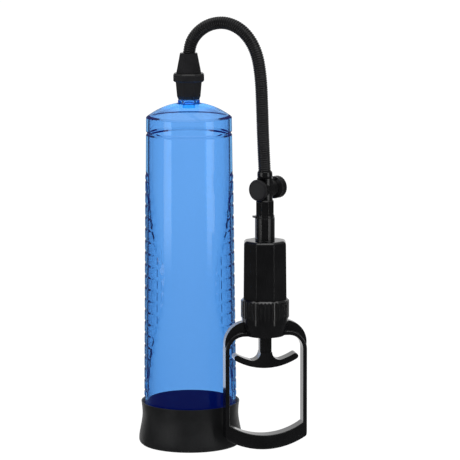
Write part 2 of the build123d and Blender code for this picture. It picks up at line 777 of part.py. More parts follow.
with BuildPart() as pump_body:
    with BuildSketch(axis_plane(BODY_Z)):
        octagon(BODY_AF_LOW)
    extrude(amount=BODY_TOP_Z - BODY_Z, taper=body_taper)
    upright = pump_body.edges().filter_by(lambda edge: abs((edge % 0.5).Z) > 0.9)
    fillet(upright, BODY_EDGE_R)
    fillet(pump_body.faces().sort_by(Axis.Z)[-1].outer_wire().edges(), BODY_TOP_ROUND)
    with BuildSketch(axis_plane(BODY_TOP_Z)):
        Circle(NECK_R)
    extrude(amount=NECK_TOP_Z - BODY_TOP_Z)
    fillet(pump_body.faces().sort_by(Axis.Z)[-1].outer_wire().edges(), 0.3)
    with BuildSketch(axis_plane(THREAD_Z)):
        Circle(THREAD_R)
    extrude(amount=BODY_Z - THREAD_Z)
    with BuildSketch(axis_plane(THREAD_Z)):
        Circle(LINER_OUT_R + FIT)
    extrude(amount=LINER_TOP_Z + 0.1 - THREAD_Z, mode=Mode.SUBTRACT)
    with BuildSketch(axis_plane(LINER_TOP_Z)):
        Circle(2.2)
    extrude(amount=NECK_BORE_Z - LINER_TOP_Z, mode=Mode.SUBTRACT)
    with BuildSketch(axis_plane(NECK_BORE_Z)):
        Circle(PLUG_R + TURN_FIT)
    extrude(amount=NECK_TOP_Z - NECK_BORE_Z, mode=Mode.SUBTRACT)
pump_body.part.label = "pump_body"
export_step(pump_body.part, "parts/pump_body.step")

with BuildPart() as pump_cylinder:
    with BuildSketch(axis_plane(LINER_Z)):
        Circle(LINER_OUT_R)
        Circle(PISTON_BORE_R, mode=Mode.SUBTRACT)
    extrude(amount=LINER_TOP_Z - LINER_Z)
pump_cylinder.part.label = "pump_cylinder"
export_step(pump_cylinder.part, "parts/pump_cylinder.step")

with BuildPart() as inlet_valve:
    with BuildSketch(PUMP_SIDE):
        with BuildLine():
            Polyline(
                (0.6, NECK_BORE_Z + 1.4),
                (PLUG_R - 0.1, NECK_BORE_Z + 1.4),
                (PLUG_R - 0.1, NECK_BORE_Z),
                (2.0, NECK_BORE_Z),
                (0.9, NECK_BORE_Z - 3.5),
                (0.25, NECK_BORE_Z - 3.5),
                close=True,
            )
        make_face()
    revolve(axis=PUMP_AXIS)
inlet_valve.part.label = "inlet_valve"
export_step(inlet_valve.part, "parts/inlet_valve.step")

with BuildPart() as knurled_collar:
    with BuildSketch(PUMP_SIDE):
        with BuildLine():
            lip_top = COLLAR_Z + COLLAR_LIP_T
            Polyline(
                (COLLAR_LIP_R, COLLAR_Z),
                (COLLAR_R, COLLAR_Z),
                (COLLAR_R, COLLAR_TOP_Z - 1.3),
                (COLLAR_BEVEL_R, COLLAR_TOP_Z),
                (THREAD_R + 0.1, COLLAR_TOP_Z),
                (THREAD_R + 0.1, lip_top),
                (COLLAR_LIP_R, lip_top),
                close=True,
            )
        make_face()
    revolve(axis=PUMP_AXIS)
    with BuildSketch(axis_plane(COLLAR_Z)):
        with PolarLocations(COLLAR_R + 0.25, COLLAR_FLUTES):
            Circle(0.85)
    extrude(amount=COLLAR_TOP_Z - COLLAR_Z, mode=Mode.SUBTRACT)
knurled_collar.part.label = "knurled_collar"
export_step(knurled_collar.part, "parts/knurled_collar.step")

CUP_FLANGE_Z = COLLAR_Z + COLLAR_LIP_T + 0.1
CUP_FLANGE_TOP = 91.0

with BuildPart() as collar_gasket:
    with BuildSketch(axis_plane(CUP_FLANGE_TOP)):
        Circle(THREAD_R)
        Circle(LINER_OUT_R + FIT, mode=Mode.SUBTRACT)
    extrude(amount=THREAD_Z - CUP_FLANGE_TOP)
collar_gasket.part.label = "collar_gasket"
export_step(collar_gasket.part, "parts/collar_gasket.step")

# ---------------------------------------------------------------- handle frame


def grip_height(x, radius, low_z):
    """Height of the curved grip at distance x from the middle."""
    return low_z + radius - sqrt(radius**2 - x**2)


def frame_outline(half_width, corner_r, grip_r, grip_z):
    """Closed outline of the D shape, drawn in the current line builder."""
    side_low = grip_height(half_width, grip_r, grip_z)
    ThreePointArc((-half_width, side_low), (0, grip_z), (half_width, side_low))
    Line((half_width, side_low), (half_width, CORNER_Z))
    RadiusArc((half_width, CORNER_Z), (CORNER_X, CORNER_Z + corner_r), -corner_r)
    Line((CORNER_X, CORNER_Z + corner_r), (-CORNER_X, CORNER_Z + corner_r))
    RadiusArc((-CORNER_X, CORNER_Z + corner_r), (-half_width, CORNER_Z), -corner_r)
    Line((-half_width, CORNER_Z), (-half_width, side_low))


INNER_CORNER_R = INNER_HALF - CORNER_X
OUTER_CORNER_R = OUTER_HALF - CORNER_X


def on_rim(edge):
    """Whether an edge lies on the frame's front or back face."""
    return abs(abs(HANDLE_SIDE.to_local_coords(edge.center()).Z) - HANDLE_DEPTH / 2) < 0.01


def on_inner_rim(edge):
    """Whether an edge of the front or back face borders the opening."""
    place = HANDLE_SIDE.to_local_coords(edge.center())
    within = abs(place.X) < INNER_HALF + 0.01 and place.Y > GRIP_TOP_Z - 0.5
    return on_rim(edge) and within and place.Y < CORNER_Z + INNER_CORNER_R + 0.01


with BuildPart() as handle_frame:
    with BuildSketch(HANDLE_SIDE):
        with BuildLine():
            frame_outline(OUTER_HALF, OUTER_CORNER_R, GRIP_OUT_R, GRIP_LOW_Z)
        make_face()
    extrude(amount=HANDLE_DEPTH / 2, both=True)
    low_rim = handle_frame.edges().filter_by(lambda edge: edge.center().Z < 8 and edge.length > 30)
    fillet(low_rim, GRIP_ROUND)
    fillet(handle_frame.edges().filter_by(lambda edge: on_rim(edge) and edge.center().Z > 20), OUTER_ROUND)
    with BuildSketch(HANDLE_SIDE):
        corner_z = grip_height(OUTER_HALF, GRIP_OUT_R, GRIP_LOW_Z)
        bevel_x = OUTER_HALF - GRIP_CORNER
        bevel_z = grip_height(bevel_x, GRIP_OUT_R, GRIP_LOW_Z)
        for side in (-1, 1):
            with BuildLine():
                Polyline(
                    (side * OUTER_HALF, corner_z + GRIP_CORNER),
                    (side * (OUTER_HALF + 1), corner_z + GRIP_CORNER),
                    (side * (OUTER_HALF + 1), corner_z - 2),
                    (side * bevel_x, corner_z - 2),
                    (side * bevel_x, bevel_z),
                    close=True,
                )
            make_face()
    extrude(amount=HANDLE_DEPTH / 2, both=True, mode=Mode.SUBTRACT)
    with BuildSketch(HANDLE_SIDE):
        with BuildLine():
            frame_outline(INNER_HALF, INNER_CORNER_R, GRIP_IN_R, GRIP_TOP_Z)
        make_face()
    extrude(amount=HANDLE_DEPTH / 2, both=True, mode=Mode.SUBTRACT)
    fillet(handle_frame.edges().filter_by(on_inner_rim), INNER_ROUND)
    with BuildSketch(HANDLE_SIDE.offset(HANDLE_DEPTH / 2)):
        with Locations((PIN_MARK_X, PIN_MARK_Z)):
            Circle(PIN_MARK_R)
    extrude(amount=-PIN_MARK_DEPTH, mode=Mode.SUBTRACT)
    with BuildSketch(HANDLE_SIDE):
        with Locations((ARCH_X, ARCH_Z), (-ARCH_X, ARCH_Z)):
            Circle(ARCH_R)
        with Locations((0, ARCH_Z)):
            Rectangle(2 * ARCH_X, ARCH_R, align=(Align.CENTER, Align.MIN))
        with BuildLine():
            frame_outline(INNER_HALF + 1, INNER_CORNER_R + 1, GRIP_IN_R, GRIP_TOP_Z)
        make_face(mode=Mode.SUBTRACT)
    extrude(amount=WEB_DEPTH / 2, both=True)
    with BuildSketch(PUMP_SIDE):
        with BuildLine():
            Polyline(
                (0, CUP_Z),
                (12.5, CUP_Z),
                (13.3, CUP_Z + 0.7),
                (CUP_R, CUP_Z + 8),
                (CUP_R, CUP_TOP_Z),
                (COLLAR_LIP_R - 0.1, CUP_TOP_Z),
                (COLLAR_LIP_R - 0.1, CUP_FLANGE_Z),
                (THREAD_R, CUP_FLANGE_Z),
                (THREAD_R, CUP_FLANGE_TOP),
                (0, CUP_FLANGE_TOP),
                close=True,
            )
        make_face()
    revolve(axis=PUMP_AXIS)
    with BuildSketch(PUMP_SIDE):
        with BuildLine():
            Polyline(
                (0, GUIDE_Z),
                (GUIDE_R, GUIDE_Z),
                (GUIDE_R, GUIDE_TOP_Z),
                (CUP_BORE_R, GUIDE_TOP_Z),
                (CUP_BORE_R, LINER_Z - FIT),
                (LINER_OUT_R + FIT, LINER_Z - FIT),
                (LINER_OUT_R + FIT, CUP_FLANGE_TOP),
                (0, CUP_FLANGE_TOP),
                close=True,
            )
        make_face()
    revolve(axis=PUMP_AXIS, mode=Mode.SUBTRACT)
    with BuildSketch(handle_level(CUP_Z)):
        RectangleRounded(ROD_W + 2 * PLAY, ROD_D + 2 * PLAY, ROD_CORNER + PLAY)
    extrude(amount=GUIDE_Z - CUP_Z, mode=Mode.SUBTRACT)
handle_frame.part.label = "handle_frame"
export_step(handle_frame.part, "parts/handle_frame.step")

GUIDE_GAP = 0.08

with BuildPart() as rod_guide:
    with BuildSketch(handle_level(GUIDE_Z)):
        Circle(GUIDE_R - FIT)
        RectangleRounded(
            ROD_W + 2 * GUIDE_GAP, ROD_D + 2 * GUIDE_GAP, ROD_CORNER + GUIDE_GAP, mode=Mode.SUBTRACT
        )
    extrude(amount=GUIDE_TOP_Z - GUIDE_Z)
rod_guide.part.label = "rod_guide"
export_step(rod_guide.part, "parts/rod_guide.step")

# ---------------------------------------------------------------- plunger and piston

STUD_R = 2.4
STUD_LENGTH = 4.0
T_CENTRE_Z = T_LOW_Z + T_R
T_MID_R = T_R - T_THICK / 2
T_TIP_X = T_HALF - T_THICK / 2
T_TIP_Z = T_CENTRE_Z - sqrt(T_MID_R**2 - T_TIP_X**2)
T_ROOT_R = 5.0
ROOT_CENTRE_X = ROD_W / 2 + T_ROOT_R
ROOT_CENTRE_Z = T_CENTRE_Z - sqrt((T_R - T_THICK - T_ROOT_R) ** 2 - ROOT_CENTRE_X**2)

with BuildPart() as plunger:
    with BuildSketch(HANDLE_SIDE):
        # Curved bar with round tips
        with BuildLine():
            for side in (-1, 1):
                inner = (T_R - T_THICK) / T_MID_R
                outer = T_R / T_MID_R
                drop = T_TIP_Z - T_CENTRE_Z
                upper_end = (side * T_TIP_X * inner, T_CENTRE_Z + drop * inner)
                lower_end = (side * T_TIP_X * outer, T_CENTRE_Z + drop * outer)
                tip = (side * (T_TIP_X + T_THICK / 2 * cos(radians(30))), T_TIP_Z + T_THICK / 2 * 0.5)
                ThreePointArc(upper_end, tip, lower_end)
            ThreePointArc(
                (-T_TIP_X * outer, T_CENTRE_Z + drop * outer),
                (0, T_LOW_Z),
                (T_TIP_X * outer, T_CENTRE_Z + drop * outer),
            )
            ThreePointArc(
                (-T_TIP_X * inner, T_CENTRE_Z + drop * inner),
                (0, T_LOW_Z + T_THICK),
                (T_TIP_X * inner, T_CENTRE_Z + drop * inner),
            )
        make_face()
        # Flared root where the rod meets the bar
        with Locations((0, T_LOW_Z + 2)):
            Rectangle(2 * ROOT_CENTRE_X, ROOT_CENTRE_Z - T_LOW_Z - 2, align=(Align.CENTER, Align.MIN))
        with Locations((ROOT_CENTRE_X, ROOT_CENTRE_Z), (-ROOT_CENTRE_X, ROOT_CENTRE_Z)):
            Circle(T_ROOT_R, mode=Mode.SUBTRACT)
    extrude(amount=T_DEPTH / 2, both=True)
    with BuildSketch(handle_level(T_LOW_Z + 2)):
        RectangleRounded(ROD_W, ROD_D, ROD_CORNER)
    extrude(amount=PISTON_Z - T_LOW_Z - 2)
    with BuildSketch(axis_plane(PISTON_Z)):
        Circle(STUD_R)
    extrude(amount=STUD_LENGTH)
plunger.part.label = "plunger"
export_step(plunger.part, "parts/plunger.step")

SEAL_LIP_H = 2.0
PISTON_GROOVE_R = 8.4
VENT_REACH = 5.6

with BuildPart() as piston_head:
    with BuildSketch(axis_plane(PISTON_Z)):
        Circle(PISTON_R)
    extrude(amount=PISTON_H)
    with BuildSketch(axis_plane(PISTON_Z + (PISTON_H - SEAL_LIP_H) / 2 - FIT)):
        Circle(PISTON_R)
        Circle(PISTON_GROOVE_R, mode=Mode.SUBTRACT)
    extrude(amount=SEAL_LIP_H + 2 * FIT, mode=Mode.SUBTRACT)
    with BuildSketch(axis_plane(PISTON_Z)):
        Circle(STUD_R + FIT)
    extrude(amount=STUD_LENGTH + FIT, mode=Mode.SUBTRACT)
    with BuildSketch(axis_plane(PISTON_Z)):
        Circle(0.9)
        with PolarLocations(VENT_REACH, 4):
            Circle(0.6)
    extrude(amount=PISTON_H, mode=Mode.SUBTRACT)
piston_head.part.label = "piston_head"
export_step(piston_head.part, "parts/piston_head.step")

with BuildPart() as piston_seal:
    with BuildSketch(axis_plane(PISTON_Z + (PISTON_H - SEAL_LIP_H) / 2)):
        Circle(PISTON_BORE_R - 0.03)
        Circle(PISTON_GROOVE_R + FIT, mode=Mode.SUBTRACT)
    extrude(amount=SEAL_LIP_H)
piston_seal.part.label = "piston_seal"
export_step(piston_seal.part, "parts/piston_seal.step")

with BuildPart() as exhaust_valve:
    with BuildSketch(axis_plane(PISTON_Z + PISTON_H)):
        Circle(7.0)
    extrude(amount=0.7)
    with BuildSketch(axis_plane(PISTON_Z + PISTON_H - 1.2)):
        Circle(0.85)
    extrude(amount=1.2)
exhaust_valve.part.label = "exhaust_valve"
export_step(exhaust_valve.part, "parts/exhaust_valve.step")

SPRING_LOW_Z = GUIDE_TOP_Z + 0.1
SPRING_HIGH_Z = PISTON_Z - 0.1

return_spring = coil_spring(
    SPRING_WIRE_R,
    SPRING_R,
    SPRING_TURNS,
    SPRING_HIGH_Z - SPRING_LOW_Z,
    (PUMP_X, PUMP_Y, SPRING_LOW_Z),
    (0, 0, 1),
)
return_spring.label = "return_spring"
export_step(return_spring, "parts/return_spring.step")
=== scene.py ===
"""Hand vacuum pump: clear tapered chamber, soft sleeve, ribbed hose, release valve and squeeze pump."""

import json
import math

import bmesh
import bpy
from mathutils import Matrix, Vector, geometry


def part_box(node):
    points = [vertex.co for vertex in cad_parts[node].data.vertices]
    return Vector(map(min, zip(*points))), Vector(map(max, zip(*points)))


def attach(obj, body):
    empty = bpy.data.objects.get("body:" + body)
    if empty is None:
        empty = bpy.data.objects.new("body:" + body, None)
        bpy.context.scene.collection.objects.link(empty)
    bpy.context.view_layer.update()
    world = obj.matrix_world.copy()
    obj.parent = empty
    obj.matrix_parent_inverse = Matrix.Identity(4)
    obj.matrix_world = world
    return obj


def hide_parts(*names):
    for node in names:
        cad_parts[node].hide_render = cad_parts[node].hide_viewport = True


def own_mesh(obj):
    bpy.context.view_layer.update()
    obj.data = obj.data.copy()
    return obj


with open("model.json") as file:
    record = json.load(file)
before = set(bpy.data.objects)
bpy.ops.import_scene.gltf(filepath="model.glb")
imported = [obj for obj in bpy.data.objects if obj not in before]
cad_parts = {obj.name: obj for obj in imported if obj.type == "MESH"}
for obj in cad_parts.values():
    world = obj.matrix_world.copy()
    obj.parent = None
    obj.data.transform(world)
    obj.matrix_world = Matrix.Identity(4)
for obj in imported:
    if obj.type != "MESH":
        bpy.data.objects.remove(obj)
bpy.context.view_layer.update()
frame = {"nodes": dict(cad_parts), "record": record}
nodes = frame["nodes"]
MM = 0.001
PUMP_X, PUMP_Y = 48.1 * MM, -26.0 * MM

# ------------------------------------------------------------------ camera, floor and light

CAMERA_AT = (0.0260, -1.8395, 0.4340)
CAMERA_PITCH = 9.1  # degrees below the horizon
CAMERA_ROLL = -0.16
LENS = 227.0  # millimetres, on a sensor of SENSOR
SENSOR = 36.0
FLOOR_R = 9.0
FLOOR_Z = -0.0002
FLOOR_GREY = 0.08
FLOOR_GLOW = 1.03
STUDIO_DARK = 0.03
STUDIO_FRONT = 0.10
STUDIO_TOP = 0.5
STUDIO_RISE = (0.3, 0.95)  # rise of a ray over which the studio goes from its front to its top brightness
SWEEP_TOP = (0.45, 0.65)  # rise of a ray over which the white sweep gives way to the dim studio
SWEEP_SIDE = (0.84, 0.92)  # how far back a ray points where the sweep behind the object begins
GLASS_BOUNCES = 24
STRIP_ANGLE = 58  # degrees from the front to each strip
STRIP_REACH = 0.6
STRIP_Z = 0.20
HANDLE_PARTS = ("handle_frame", "pump_body", "knurled_collar", "plunger")

camera_data = bpy.data.cameras.new("camera")
camera_data.lens = LENS
camera_data.sensor_width = SENSOR
camera_data.clip_end = 100.0
camera = bpy.data.objects.new("camera", camera_data)
camera.matrix_world = (
    Matrix.Translation(CAMERA_AT)
    @ Matrix.Rotation(math.radians(90 - CAMERA_PITCH), 4, "X")
    @ Matrix.Rotation(math.radians(CAMERA_ROLL), 4, "Z")
)
bpy.context.scene.collection.objects.link(camera)
bpy.context.scene.camera = camera
bpy.context.scene.view_settings.view_transform = "Standard"
bpy.context.scene.cycles.max_bounces = GLASS_BOUNCES
bpy.context.scene.cycles.transmission_bounces = GLASS_BOUNCES


def new_material(name):
    """An empty node material and its Principled shader."""
    material = bpy.data.materials.new(name)
    material.use_nodes = True
    return material, material.node_tree, material.node_tree.nodes["Principled BSDF"]


def make_floor():
    """Wide pale floor, softly lit from within so that it stays near white."""
    mesh = bpy.data.meshes.new("floor")
    bm = bmesh.new()
    bmesh.ops.create_circle(bm, cap_ends=True, segments=96, radius=FLOOR_R)
    bm.to_mesh(mesh)
    bm.free()
    floor = bpy.data.objects.new("floor", mesh)
    floor.location.z = FLOOR_Z
    bpy.context.scene.collection.objects.link(floor)
    material, _, shader = new_material("pale_floor")
    shader.inputs["Base Color"].default_value = (FLOOR_GREY, FLOOR_GREY, FLOOR_GREY, 1)
    shader.inputs["Roughness"].default_value = 0.9
    shader.inputs["Specular IOR Level"].default_value = 0.0
    shader.inputs["Emission Color"].default_value = (1, 1, 1, 1)
    shader.inputs["Emission Strength"].default_value = FLOOR_GLOW
    mesh.materials.append(material)
    floor.visible_glossy = False
    floor.visible_transmission = False


def math_node(tree, operation, first, second):
    """Output of one maths node. Each input is a socket or a number."""
    node = tree.nodes.new("ShaderNodeMath")
    node.operation = operation
    for socket, value in zip(node.inputs, (first, second)):
        if isinstance(value, (int, float)):
            socket.default_value = value
        else:
            tree.links.new(value, socket)
    return node.outputs[0]


def smooth_ramp(tree, value, start, end, low=0.0, high=1.0):
    """Output that eases from low to high while value goes from start to end."""
    node = tree.nodes.new("ShaderNodeMapRange")
    node.interpolation_type = "SMOOTHSTEP"
    for name, number in (("From Min", start), ("From Max", end), ("To Min", low), ("To Max", high)):
        node.inputs[name].default_value = number
    tree.links.new(value, node.inputs["Value"])
    return node.outputs["Result"]


def mix_values(tree, factor, first, second):
    """Output that blends two numbers by a factor."""
    node = tree.nodes.new("ShaderNodeMix")
    for name, value in (("Factor", factor), ("A", first), ("B", second)):
        if isinstance(value, (int, float)):
            node.inputs[name].default_value = value
        else:
            tree.links.new(value, node.inputs[name])
    return node.outputs["Result"]


def make_world():
    """White sweep up to a low horizon, seen through the clear plastic, and a dim studio in reflections.

    Light that has been reflected inside the chamber's two walls sees the sweep behind the object only.
    """
    world = bpy.data.worlds.new("studio")
    bpy.context.scene.world = world
    world.use_nodes = True
    tree = world.node_tree
    background = tree.nodes["Background"]
    coordinates = tree.nodes.new("ShaderNodeTexCoord")
    split = tree.nodes.new("ShaderNodeSeparateXYZ")
    tree.links.new(coordinates.outputs["Generated"], split.inputs[0])
    studio = smooth_ramp(tree, split.outputs["Z"], *STUDIO_RISE, STUDIO_FRONT, STUDIO_TOP)
    sweep = smooth_ramp(tree, split.outputs["Z"], *SWEEP_TOP, 1.0, STUDIO_DARK)
    behind = smooth_ramp(tree, split.outputs["Y"], *SWEEP_SIDE)
    path = tree.nodes.new("ShaderNodeLightPath")
    through = math_node(tree, "GREATER_THAN", path.outputs["Transmission Depth"], 0.5)
    echoed = math_node(tree, "GREATER_THAN", path.outputs["Glossy Depth"], 0.5)
    echo = math_node(tree, "MULTIPLY", through, echoed)
    kept = mix_values(tree, behind, STUDIO_DARK, sweep)
    seen = mix_values(tree, through, studio, sweep)
    seen = mix_values(tree, echo, seen, kept)
    seen = mix_values(tree, path.outputs["Is Camera Ray"], seen, 1.0)
    tree.links.new(seen, background.inputs["Color"])


def area_light(name, at, toward, width, height, radiance, lit=None, fade=0.0, through_plastic=False):
    """Rectangular soft light of a given radiance.

    lit holds the only objects that it lights and that shade it. fade is the part of its height over
    which its two ends grow dim. through_plastic lets it be seen through the clear plastic.
    """
    data = bpy.data.lights.new(name, "AREA")
    data.shape = "RECTANGLE"
    data.size, data.size_y = width, height
    data.energy = radiance * math.pi * width * height
    light = bpy.data.objects.new(name, data)
    light.location = at
    light.rotation_mode = "QUATERNION"
    light.rotation_quaternion = (Vector(toward) - Vector(at)).to_track_quat("-Z", "Y")
    light.visible_camera = False
    light.visible_transmission = through_plastic
    bpy.context.scene.collection.objects.link(light)
    if lit:
        light.light_linking.receiver_collection = lit
        light.light_linking.blocker_collection = lit
    if fade:
        data.use_nodes = True
        tree = data.node_tree
        place = tree.nodes.new("ShaderNodeNewGeometry")
        split = tree.nodes.new("ShaderNodeSeparateXYZ")
        tree.links.new(place.outputs["Parametric"], split.inputs[0])
        low_end = smooth_ramp(tree, split.outputs["Y"], 0.0, fade)
        high_end = smooth_ramp(tree, split.outputs["Y"], 1.0, 1.0 - fade)
        strength = math_node(tree, "MULTIPLY", low_end, high_end)
        tree.links.new(strength, tree.nodes["Emission"].inputs["Strength"])


def make_lights():
    """Two upright strips in front for the plastic, and soft boxes and cards that only black parts see.

    Gives back the collection of black parts, which the pieces made later join.
    """
    black = bpy.data.collections.new("black_parts")
    handle = bpy.data.collections.new("handle_parts")
    for name, node in nodes.items():
        if name != "chamber":
            black.objects.link(node)
        if name in HANDLE_PARTS:
            handle.objects.link(node)
    for name, angle in (("strip_left", -STRIP_ANGLE), ("strip_right", STRIP_ANGLE)):
        x = STRIP_REACH * math.sin(math.radians(angle))
        y = -STRIP_REACH * math.cos(math.radians(angle))
        area_light(
            name, (x, y, STRIP_Z), (0, 0, STRIP_Z), 0.24, 0.37, 1.3, fade=0.16, through_plastic=True
        )
    # Each row: name, place, what it faces, width, height, radiance, the parts that it lights.
    for name, at, toward, width, height, radiance, lit in (
        ("top_box", (0.1, -0.2, 1.3), (0.02, 0, 0.1), 0.7, 0.7, 1.3, black),
        ("handle_box", (0.05, -0.1, 1.3), (0.05, 0, 0.1), 2.6, 0.6, 1.6, handle),
        ("back_card", (0.0, 1.6, 0.35), (0.0, 0, 0.35), 3.2, 2.0, 0.85, black),
        ("rim_card", (-0.75, 0.40, 0.05), (0.04, -0.02, 0.05), 0.22, 0.30, 1.3, handle),
        ("edge_left", (-0.45, -0.50, 0.15), (0.04, -0.02, 0.12), 0.05, 0.4, 4.0, black),
        ("edge_right", (0.53, -0.50, 0.15), (0.04, -0.02, 0.12), 0.05, 0.4, 4.0, black),
    ):
        area_light(name, at, toward, width, height, radiance, lit=lit)
    return black


make_floor()
make_world()
black_parts = make_lights()

# ------------------------------------------------------------------ mesh helpers

WELD = 2e-7  # points nearer than this are joined
SAME_POINT = 1e-7  # and nearer than this are one point of a flat layout
STRAIGHT = math.radians(12)  # a turn smaller than this is left as it is


def link_mesh(name, bm, material, sharp_degrees):
    """Finish a bmesh as an object with smooth shading and sharp corners."""
    bmesh.ops.remove_doubles(bm, verts=bm.verts, dist=WELD)
    bmesh.ops.recalc_face_normals(bm, faces=bm.faces)
    mesh = bpy.data.meshes.new(name)
    bm.to_mesh(mesh)
    bm.free()
    mesh.shade_smooth()
    mesh.set_sharp_from_angle(angle=math.radians(sharp_degrees))
    mesh.materials.append(material)
    piece = bpy.data.objects.new(name, mesh)
    bpy.context.scene.collection.objects.link(piece)
    return piece


def rounded(points, radius, steps=5):
    """The open profile with each inner corner turned into a small arc."""
    out = [points[0]]
    for before, here, after in zip(points, points[1:], points[2:]):
        p, a, b = Vector(here), Vector(before), Vector(after)
        u, v = (a - p), (b - p)
        angle = u.angle(v)
        if math.pi - angle < STRAIGHT:
            out.append(tuple(p))
            continue
        cut = min(radius / math.tan(angle / 2), 0.45 * u.length, 0.45 * v.length)
        start, end = p + u.normalized() * cut, p + v.normalized() * cut
        for i in range(steps + 1):
            t = i / steps
            out.append(tuple((1 - t) ** 2 * start + 2 * t * (1 - t) * p + t * t * end))
    out.append(points[-1])
    return out


def lathe(bm, profile, segments, skip=None):
    """Quads of a closed profile of (radius, height) turned about the upright axis. skip leaves quads out."""
    rings = []
    for r, z in profile:
        ring = []
        for j in range(segments):
            a = 2 * math.pi * j / segments
            ring.append(bm.verts.new((r * math.cos(a), r * math.sin(a), z)))
        rings.append(ring)
    for i, (low, high) in enumerate(zip(rings, rings[1:] + rings[:1])):
        for j in range(segments):
            if skip and skip(i, j):
                continue
            k = (j + 1) % segments
            bm.faces.new((low[j], low[k], high[k], high[j]))


# ------------------------------------------------------------------ materials

CLOUD_GAIN, CLOUD_LIFT = 1.5, 0.001  # from a part's darker colour to its lighter one
GRAIN_DEPTH = 0.4 * MM
EDGE_R = 0.35 * MM
PLASTIC_IOR = 1.49
PLASTIC_TINTS = (0.555, 0.735, 0.975), (0.571, 0.75, 0.985)
LOW_TINT = (0.90, 0.925, 0.935, 1)  # multiplies the tint towards the bottom
LOW_TINT_Z = (0.21, 0.02)
# painted shade: a deeper blue laid along the brick lines, the groove and the dome, standing in for the dark
# lines that refraction draws there
LINE_PAINTED_SHADE = (0.30, 0.56, 0.84, 1)
BODY_PAINTED_GLOW = (0.0, 0.0008, 0.016, 1)  # painted glow that stands in for light scattered in the plastic
# painted glow that lightens the dome
DOME_PAINTED_GLOW = (0.0, 0.092, 0.270, 1)
DEPTH_COLOUR = (0.061, 0.706, 0.956, 1)
DEPTH_DENSITY = 180.0


def texture(tree, kind, **values):
    """A texture node in object space with its inputs set by name."""
    coordinates = tree.nodes.new("ShaderNodeTexCoord")
    node = tree.nodes.new(kind)
    tree.links.new(coordinates.outputs["Object"], node.inputs["Vector"])
    for key, value in values.items():
        node.inputs[key.replace("_", " ")].default_value = value
    return node


def ramp_between(tree, source, low, high):
    """A colour ramp from low to high driven by a texture."""
    ramp = tree.nodes.new("ShaderNodeValToRGB")
    for element, position, colour in zip(ramp.color_ramp.elements, (0.35, 0.65), (low, high)):
        element.position = position
        element.color = (*colour, 1)
    tree.links.new(source, ramp.inputs["Fac"])
    return ramp.outputs["Color"]


def spread(tree, source, low, high):
    """The texture's value mapped to a range."""
    node = tree.nodes.new("ShaderNodeMapRange")
    for name, number in (("From Min", 0.3), ("From Max", 0.7), ("To Min", low), ("To Max", high)):
        node.inputs[name].default_value = number
    tree.links.new(source, node.inputs["Value"])
    return node.outputs["Result"]


def bump(tree, source, strength, distance):
    """A bump node fed by a texture."""
    node = tree.nodes.new("ShaderNodeBump")
    node.inputs["Strength"].default_value = strength
    node.inputs["Distance"].default_value = distance
    tree.links.new(source, node.inputs["Height"])
    return node.outputs["Normal"]


def moulded(name, colour, rough, grain, grain_scale, specular=0.5, edge=0.0, metallic=0.0):
    """Moulded plastic, rubber or drawn steel: slight colour change, uneven polish and a fine grain.

    edge is the radius over which its sharp corners catch the light.
    """
    material, tree, shader = new_material(name)
    clouds = texture(tree, "ShaderNodeTexNoise", Scale=90.0, Detail=4.0)
    fine = texture(tree, "ShaderNodeTexNoise", Scale=grain_scale, Detail=6.0)
    lighter = tuple(c * CLOUD_GAIN + CLOUD_LIFT for c in colour)
    tree.links.new(ramp_between(tree, clouds.outputs["Fac"], colour, lighter), shader.inputs["Base Color"])
    tree.links.new(spread(tree, clouds.outputs["Fac"], *rough), shader.inputs["Roughness"])
    grain_normal = bump(tree, fine.outputs["Fac"], grain, GRAIN_DEPTH)
    tree.links.new(grain_normal, shader.inputs["Normal"])
    if edge:
        softened = tree.nodes.new("ShaderNodeBevel")
        softened.samples = 4
        softened.inputs["Radius"].default_value = edge
        tree.links.new(softened.outputs["Normal"], grain_normal.node.inputs["Normal"])
    shader.inputs["Specular IOR Level"].default_value = specular
    shader.inputs["Metallic"].default_value = metallic
    return material


def blend_colours(tree, factor, first, second, blend="MIX"):
    """Output that blends two colours by a factor. Each colour is a socket or four numbers."""
    node = tree.nodes.new("ShaderNodeMix")
    node.data_type = "RGBA"
    node.blend_type = blend
    tree.links.new(factor, node.inputs["Factor"])
    for name, colour in (("A", first), ("B", second)):
        if isinstance(colour, tuple):
            node.inputs[name].default_value = colour
        else:
            tree.links.new(colour, node.inputs[name])
    return node.outputs["Result"]


def attribute(tree, name):
    """Output that reads a mesh attribute."""
    node = tree.nodes.new("ShaderNodeAttribute")
    node.attribute_name = name
    return node.outputs["Fac"]


